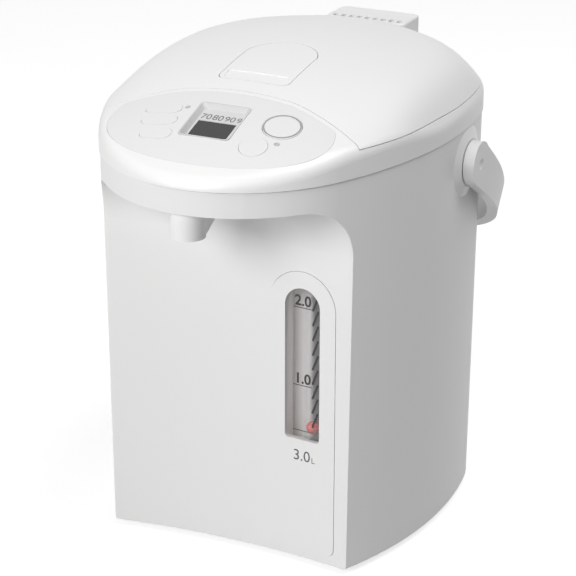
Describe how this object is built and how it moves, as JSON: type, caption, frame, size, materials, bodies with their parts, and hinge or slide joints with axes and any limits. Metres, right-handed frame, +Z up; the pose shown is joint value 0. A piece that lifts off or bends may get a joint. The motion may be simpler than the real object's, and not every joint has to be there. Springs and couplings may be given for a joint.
{
  "type": "electric thermo pot",
  "caption": "White electric thermo pot with a sloping control deck over a cup bay, hinged domed lid, bail handle, water gauge window and pumped spout.",
  "frame": {"origin": "on the floor under the middle of the whole pot's bounding box", "axes": "+Z up, the spout and controls face -Y, +X to the right of someone facing the rear from the front"},
  "size_m": [0.222, 0.288, 0.2894],
  "materials": {
    "alu_plate": "satin",
    "board_green": "matte",
    "clear_window": "clear",
    "dark_lcd": "gloss",
    "dark_part": "matte",
    "deck_sheet": "gloss",
    "float_red": "gloss",
    "grey_frame": "matte",
    "grey_key": "satin",
    "rubber_foot": "matte",
    "silicone": "matte",
    "steel_pin": "polished",
    "steel_tank": "brushed",
    "white_shell": "satin",
    "white_top": "gloss"
  },
  "bodies": {
    "housing": {"base_plate": "grey_frame", "base_screws": "steel_pin", "board_posts": "grey_frame", "body_shell": "white_shell", "control_board": "board_green", "control_sheet": "deck_sheet", "discharge_hose": "silicone", "feet": "rubber_foot", "gauge_lens": "clear_window", "gauge_panel": "white_shell", "gauge_scale": "white_shell", "gauge_tray": "grey_frame", "gauge_tube": "clear_window", "handle_pivot_left": "grey_frame", "handle_pivot_right": "grey_frame", "heat_shield": "alu_plate", "heater_plate": "alu_plate", "hinge_pin": "steel_pin", "indicator_lenses": "clear_window", "inlet_socket": "dark_part", "key_switches": "dark_part", "lcd_frame": "white_top", "lcd_glass": "dark_lcd", "lcd_module": "dark_part", "motor_case": "dark_part", "power_board": "board_green", "power_parts": "dark_part", "pump_housing": "grey_frame", "riser_pipe": "silicone", "shoulder_ring": "white_top", "socket_pins": "steel_pin", "spout_housing": "white_top", "spout_pipe": "silicone", "tank": "steel_tank", "tank_gasket": "silicone", "thermistor": "steel_pin", "valve_housing": "grey_frame"},
    "lid": {"lid_cover": "white_top", "lid_floor": "grey_frame", "inner_lid": "steel_tank", "lid_gasket": "silicone", "steam_block": "white_top", "latch_tray": "grey_frame", "latch_pin": "steel_pin"},
    "latch_plate": {"latch_plate": "white_top"},
    "latch_hook": {"latch_hook": "grey_frame"},
    "dispense_button": {"dispense_button": "white_top"},
    "lock_button": {"lock_button": "white_top"},
    "menu_button_1": {"menu_button_1": "grey_key"},
    "menu_button_2": {"menu_button_2": "grey_key"},
    "menu_button_3": {"menu_button_3": "grey_key"},
    "handle": {"handle": "white_shell"},
    "impeller": {"impeller": "grey_frame"},
    "motor_rotor": {"motor_rotor": "steel_pin"},
    "float_ball": {"float_ball": "float_red"},
    "tip_ball": {"tip_ball": "steel_pin"}
  },
  "joints": [
    {"name": "lid_hinge", "type": "hinge", "parent": "housing", "child": "lid", "pos_m": [0, 0.1242, 0.263], "axis": [-1, 0, 0], "range_deg": [0, 75]},
    {"name": "latch_press", "type": "hinge", "parent": "lid", "child": "latch_plate", "pos_m": [0, -0.003, 0.2815], "axis": [1, 0, 0], "range_deg": [0, 6], "stiffness_Nm_per_rad": 0.5},
    {"name": "latch_slide", "type": "slide", "parent": "lid", "child": "latch_hook", "axis": [0, 1, 0], "range_m": [0, 0.003]},
    {"name": "dispense_press", "type": "slide", "parent": "housing", "child": "dispense_button", "axis": [0, 0.2925, -0.9563], "range_m": [0, 0.0008], "stiffness_N_per_m": 300},
    {"name": "lock_press", "type": "slide", "parent": "housing", "child": "lock_button", "axis": [0, 0.3445, -0.9388], "range_m": [0, 0.0005], "stiffness_N_per_m": 300},
    {"name": "menu_press_1", "type": "slide", "parent": "housing", "child": "menu_button_1", "axis": [0, 0.2889, -0.9573], "range_m": [0, 0.0005], "stiffness_N_per_m": 300},
    {"name": "menu_press_2", "type": "slide", "parent": "housing", "child": "menu_button_2", "axis": [0, 0.3156, -0.9489], "range_m": [0, 0.0005], "stiffness_N_per_m": 300},
    {"name": "menu_press_3", "type": "slide", "parent": "housing", "child": "menu_button_3", "axis": [0, 0.3457, -0.9383], "range_m": [0, 0.0005], "stiffness_N_per_m": 300},
    {"name": "handle_swing", "type": "hinge", "parent": "housing", "child": "handle", "pos_m": [0, 0.0265, 0.2245], "axis": [1, 0, 0], "range_deg": [0, 140]},
    {"name": "rotor_spin", "type": "hinge", "parent": "housing", "child": "motor_rotor", "pos_m": [0.034, -0.028, 0.0357], "axis": [0, 0, 1], "continuous": true},
    {"name": "impeller_spin", "type": "hinge", "parent": "housing", "child": "impeller", "pos_m": [0.034, -0.028, 0.044], "axis": [0, 0, 1], "continuous": true},
    {"name": "float_rise", "type": "slide", "parent": "housing", "child": "float_ball", "axis": [0, 0, 1], "range_m": [0, 0.08]},
    {"name": "tip_ball_rise", "type": "slide", "parent": "housing", "child": "tip_ball", "axis": [0, 0, 1], "range_m": [0, 0.004]}
  ],
  "couplings": [
    {"joint": "latch_slide", "follows": "latch_press", "m_per_rad": 0.02864},
    {"joint": "impeller_spin", "follows": "rotor_spin", "ratio": 1}
  ]
}
